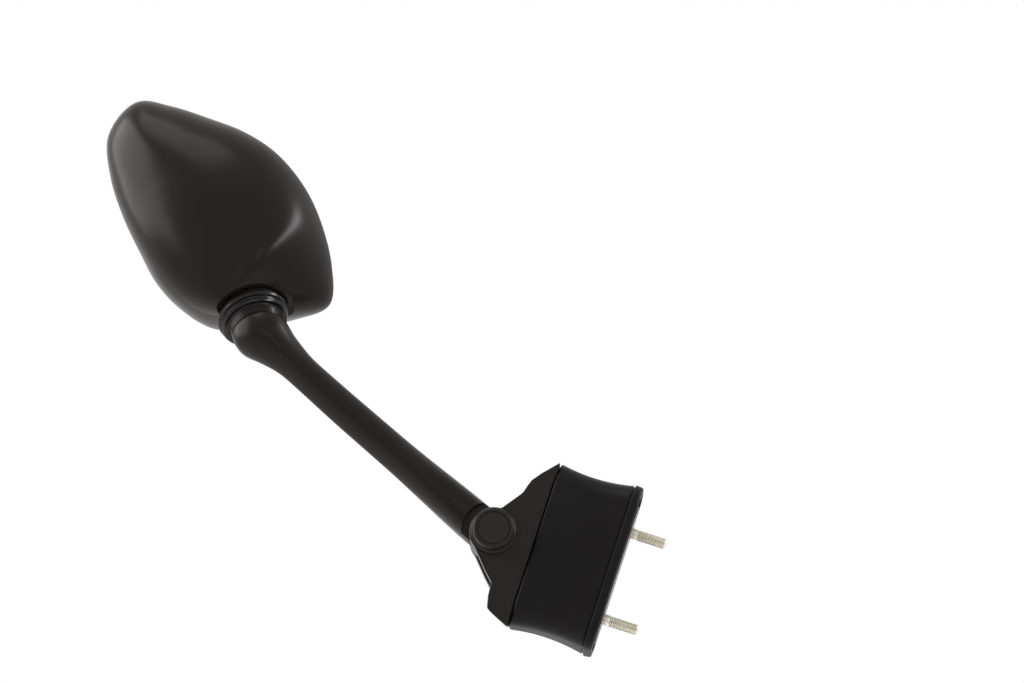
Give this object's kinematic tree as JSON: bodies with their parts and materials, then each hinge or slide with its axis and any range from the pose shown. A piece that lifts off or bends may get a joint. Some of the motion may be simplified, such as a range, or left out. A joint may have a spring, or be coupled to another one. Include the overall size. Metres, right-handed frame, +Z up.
{
  "type": "motorcycle mirror",
  "caption": "Right-hand folding motorcycle mirror: domed black housing on a ball joint, cast stem, clevis pivot and bracket with a rubber boot and studs.",
  "frame": {"origin": "centre of the seat that lies on the fairing, midway between the studs", "axes": "+X inboard, +Y rearward to the rider and along the fold axis, +Z up; the seat leans 18 degrees, so the studs point along (0.951, 0, -0.309)"},
  "size_m": [0.3109, 0.0861, 0.3171],
  "materials": {
    "cast_black": "satin black powder coat with a fine grain",
    "shell_black": "satin black moulded plastic with a fine grain",
    "boot_rubber": "soft black rubber with a low sheen",
    "cap_black": "satin black moulded plastic",
    "zinc_steel": "zinc-plated steel",
    "bare_steel": "turned steel, lightly oiled",
    "nylon": "natural nylon",
    "foam": "black foam tape",
    "mirror": "polished silvered glass"
  },
  "bodies": {
    "base": {"base_bracket": "cast_black", "boot": "boot_rubber", "mounting_studs": "zinc_steel", "pivot_bolt": "bare_steel", "pivot_nut": "zinc_steel", "disc_springs": "bare_steel", "friction_washers": "nylon", "pivot_cap_front": "cap_black", "pivot_cap_rear": "cap_black"},
    "stem": {"stem": "cast_black", "pivot_bush": "nylon", "ball_stud": "bare_steel"},
    "collar": {"neck_collar": "cast_black"},
    "neck_ring": {"dust_boot": "boot_rubber"},
    "head": {"housing": "shell_black", "socket_cup": "nylon", "pressure_cup": "nylon", "socket_springs": "bare_steel", "lock_ring": "zinc_steel", "glass_carrier": "shell_black", "carrier_screws": "zinc_steel", "glass_pad": "foam", "mirror_glass": "mirror"}
  },
  "joints": [
    {"name": "fold", "type": "hinge", "parent": "base", "child": "stem", "pos_m": [-0.06753, 0, 0.02194], "axis": [0, 1, 0], "range_deg": [-45, 8]},
    {"name": "nod", "type": "hinge", "parent": "stem", "child": "collar", "pos_m": [-0.20253, 0.012, 0.15294], "axis": [0.9511, 0, 0.309], "range_deg": [-10, 10]},
    {"name": "spin", "type": "hinge", "parent": "collar", "child": "neck_ring", "pos_m": [-0.20253, 0.012, 0.15294], "axis": [-0.2676, 0.5, 0.8236], "range_deg": [-20, 20]},
    {"name": "swing", "type": "hinge", "parent": "neck_ring", "child": "head", "pos_m": [-0.20253, 0.012, 0.15294], "axis": [0.1545, 0.866, -0.4755], "range_deg": [-8, 8]}
  ]
}
